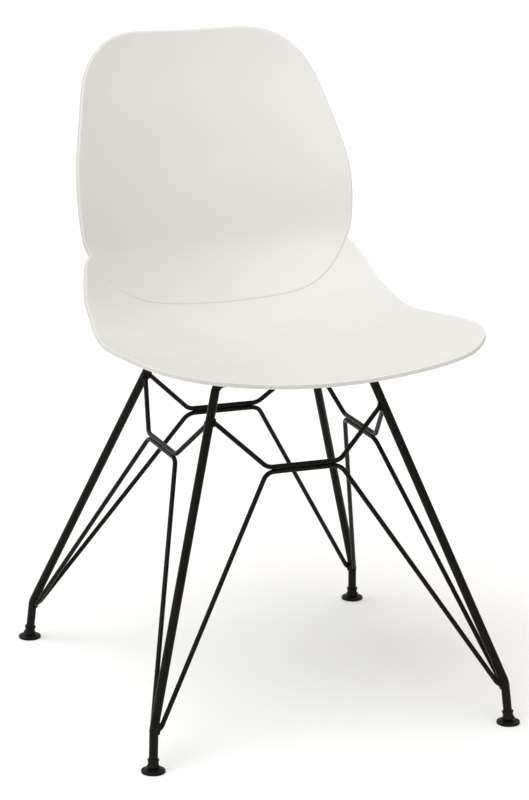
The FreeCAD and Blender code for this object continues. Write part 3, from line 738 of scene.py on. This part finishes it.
def joint_bead(key, w=0.8, grow=0.4):
    """The closed line at a distance w from both the wire's and the rod's surface."""
    path, side = wire_path(key)
    fine = even(path, 0.2)[-520:]
    t = np.gradient(fine, axis=0)
    t /= np.linalg.norm(t, axis=1, keepdims=True)
    n1 = np.cross(side, t)
    rod = rounded([(0, TOP_C[1], TOP_C[2]), TOP_C, FOOT_C, rod_at(10.0)], [14.0, 25.0])
    ang = np.arange(56) * 2 * math.pi / 56
    P = (fine[:, None] + (WIRE_R + w) * (np.cos(ang)[None, :, None] * n1[:, None]
                                         + np.sin(ang)[None, :, None] * side[None, None]))
    gap = distance(P, rod) - (ROD_R + w)
    line = []
    for k in range(len(ang)):
        hit = np.nonzero(gap[:, k] <= 0)[0]
        i = int(hit[0]) if len(hit) else len(fine) - 1
        if 0 < i < len(fine) and gap[i, k] <= 0:
            f = gap[i - 1, k] / (gap[i - 1, k] - gap[i, k])
            line.append(P[i - 1, k] + f * (P[i, k] - P[i - 1, k]))
        else:
            line.append(P[i, k])
    line = np.array(line)
    for _ in range(2):
        line = 0.5 * line + 0.25 * (np.roll(line, 1, 0) + np.roll(line, -1, 0))
    L = np.r_[0.0, np.cumsum(np.linalg.norm(np.diff(np.vstack([line, line[:1]]), axis=0), axis=1))]
    u = np.linspace(0, L[-1], 73)[:-1]
    closed = np.vstack([line, line[:1]])
    line = np.stack([np.interp(u, L, closed[:, k]) for k in range(3)], 1)
    k = np.arange(len(line))
    radius = (w + grow) * (1 + 0.07 * np.sin(k * 2 * math.pi / 4.5) + 0.04 * np.sin(k * 2 * math.pi / 12))
    return line, radius


beads = []
for key in ("fu", "fl", "su", "sl"):
    line, radius = joint_bead(key)
    for sx in (-1, 1):
        for sy in (-1, 1):
            v, f = tube(line * np.array([sx, sy, 1.0]), radius, True)
            beads.append((v, f))
for sx in (-1, 1):
    for sy in (-1, 1):
        for dy in (-1, 1):
            x = np.linspace(-11.5, 11.5, 27)
            k = np.arange(27)
            line = np.stack([66.0 * sx + x, (102.8 + 2.9 * dy) * sy + 0 * x, 431.55 + 0 * x], 1)
            beads.append(tube(line, 1.25 + 0.10 * np.sin(k * 2.1) + 0.05 * np.sin(k * 0.9), False))
allv, allf = [], []
for v, f in beads:
    k = sum(len(a) for a in allv)
    allv.append(v)
    allf += [tuple(i + k for i in q) for q in f]
V = np.vstack(allv) + np.array([0, Y0, 0])
welds = new_mesh("weld_beads", V * MM, allf, COAT)
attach(welds, BODY)

# ------------------------------------------------------------ floor and light
me = bpy.data.meshes.new("floor")
R = 30.0
me.from_pydata([(-R, -R, 0), (R, -R, 0), (R, R, 0), (-R, R, 0)], [], [(0, 1, 2, 3)])
floor = bpy.data.objects.new("floor", me)
bpy.context.scene.collection.objects.link(floor)
fmat, fnt, fb = nodes_of("pale_floor")
fb.inputs["Base Color"].default_value = (0.95, 0.95, 0.95, 1)
fb.inputs["Roughness"].default_value = 0.9
fb.inputs["Specular IOR Level"].default_value = 0.1
fb.inputs["Emission Color"].default_value = (1.0, 1.0, 1.0, 1)
fb.inputs["Emission Strength"].default_value = 0.06
me.materials.append(fmat)

world = bpy.data.worlds.new("studio")
bpy.context.scene.world = world
world.use_nodes = True
bg = next(n for n in world.node_tree.nodes if n.type == "BACKGROUND")
# the studio is a little brighter on the sitter's right, and warmer on the left
wt = world.node_tree
wc = wt.nodes.new("ShaderNodeTexCoord")
wx = wt.nodes.new("ShaderNodeSeparateXYZ")
link(wt, wc, "Generated", wx, "Vector")
wr = wt.nodes.new("ShaderNodeMapRange")
wr.inputs["From Min"].default_value = -1.0
wr.inputs["From Max"].default_value = 1.0
link(wt, wx, "X", wr, "Value")
wramp = ramp(wt, [(0.0, (0.970, 0.990, 1.000)), (1.0, (0.645, 0.612, 0.566))])
link(wt, wr, "Result", wramp, "Fac")
link(wt, wramp, "Color", bg, "Color")
bg.inputs["Strength"].default_value = 0.925


def area(name, az, el, dist, size, power, colour=(1, 1, 1), size_y=None):
    """Azimuth 0 is in front of the chair (-Y), positive towards +X."""
    a, e = math.radians(az), math.radians(el)
    d = Vector((math.sin(a) * math.cos(e), -math.cos(a) * math.cos(e), math.sin(e)))
    li = bpy.data.lights.new(name, "AREA")
    li.energy = power
    li.color = colour
    li.shape = "RECTANGLE"
    li.size = size
    li.size_y = size_y or size
    ob = bpy.data.objects.new(name, li)
    bpy.context.scene.collection.objects.link(ob)
    ob.location = Vector((0, 0, 0.45)) + d * dist
    ob.rotation_mode = "QUATERNION"
    ob.rotation_quaternion = (-d).to_track_quat("-Z", "Y")
    return ob


def sun(name, az, el, strength, angle, colour=(1, 1, 1)):
    a, e = math.radians(az), math.radians(el)
    d = Vector((math.sin(a) * math.cos(e), -math.cos(a) * math.cos(e), math.sin(e)))
    li = bpy.data.lights.new(name, "SUN")
    li.energy = strength
    li.angle = math.radians(angle)
    li.color = colour
    ob = bpy.data.objects.new(name, li)
    bpy.context.scene.collection.objects.link(ob)
    ob.location = d * 3.0
    ob.rotation_mode = "QUATERNION"
    ob.rotation_quaternion = (-d).to_track_quat("-Z", "Y")
    return ob


sun("key_light", -70, 66, 1.25, 50, (1.0, 0.997, 0.99))

sc = bpy.context.scene
sc.view_settings.view_transform = "Standard"
sc.view_settings.look = "None"
